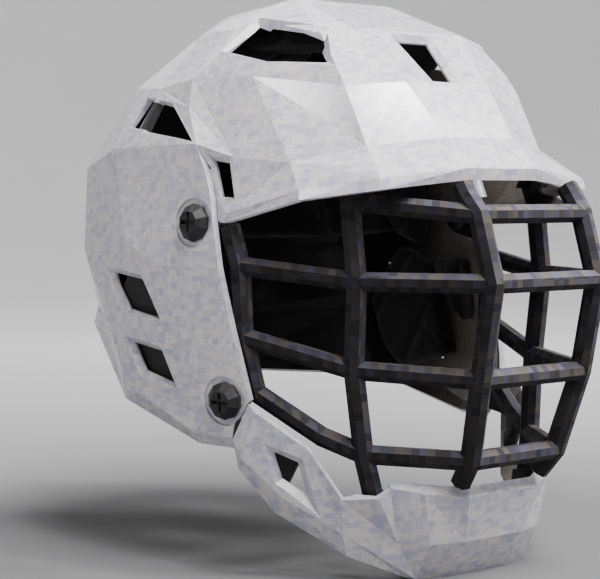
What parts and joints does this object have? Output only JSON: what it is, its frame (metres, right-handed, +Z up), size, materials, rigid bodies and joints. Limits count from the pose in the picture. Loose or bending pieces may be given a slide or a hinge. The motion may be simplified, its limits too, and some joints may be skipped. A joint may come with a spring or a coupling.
{
  "type": "full face helmet",
  "caption": "Flat-panelled full face sport helmet with a visor, open eight-sided wire face cage, vented chin guard, dark foam blocks and a rear fit dial.",
  "frame": {"origin": "under the middle of the helmet, on the plane of the chin guard's flat underside", "axes": "+Z up, the face looks along -Y, the wearer's left is +X"},
  "size_m": [0.228, 0.3276, 0.303],
  "materials": {
    "shell": "white with a fine pale mottling, satin",
    "cage": "charcoal coating, lightly mottled",
    "screws": "charcoal, facetted",
    "fittings": "black moulded",
    "steel": "satin",
    "foam": "charcoal moulded foam"
  },
  "bodies": {
    "helmet": {"front_shell": "shell", "rear_shell": "shell", "chin_guard": "shell", "cage_side_bars": "cage", "cage_top_bar": "cage", "cage_upper_bar": "cage", "cage_middle_bar": "cage", "cage_lower_bar": "cage", "cage_outer_uprights": "cage", "cage_inner_uprights": "cage", "upper_cage_tabs": "cage", "lower_cage_tabs": "cage", "upper_cage_screws": "screws", "lower_cage_screws": "screws", "cage_nuts": "steel", "visor_clips": "fittings", "chin_clips": "fittings", "chin_guard_brackets": "fittings", "chin_guard_screws": "steel", "crown_joiner": "steel", "crown_rivets": "steel", "crown_pads": "foam", "brow_pad": "foam", "right_side_pads": "foam", "left_side_pads": "foam", "right_jaw_pad": "foam", "left_jaw_pad": "foam", "rear_pads": "foam", "chin_pads": "foam", "dial_housing": "fittings", "guide_rods": "steel"},
    "fit_dial": {"fit_dial": "fittings"},
    "nape_cradle": {"nape_cradle": "fittings", "nape_pad": "foam"}
  },
  "joints": [
    {"name": "dial_turn", "type": "hinge", "parent": "helmet", "child": "fit_dial", "pos_m": [0, 0.154, 0.1425], "axis": [0, -0.9846, 0.175], "range_deg": [0, 360]},
    {"name": "cradle_slide", "type": "slide", "parent": "helmet", "child": "nape_cradle", "axis": [0, -0.9846, 0.175], "range_m": [0, 0.01]}
  ],
  "couplings": [
    {"joint": "cradle_slide", "follows": "dial_turn", "m_per_rad": 0.0015915}
  ]
}
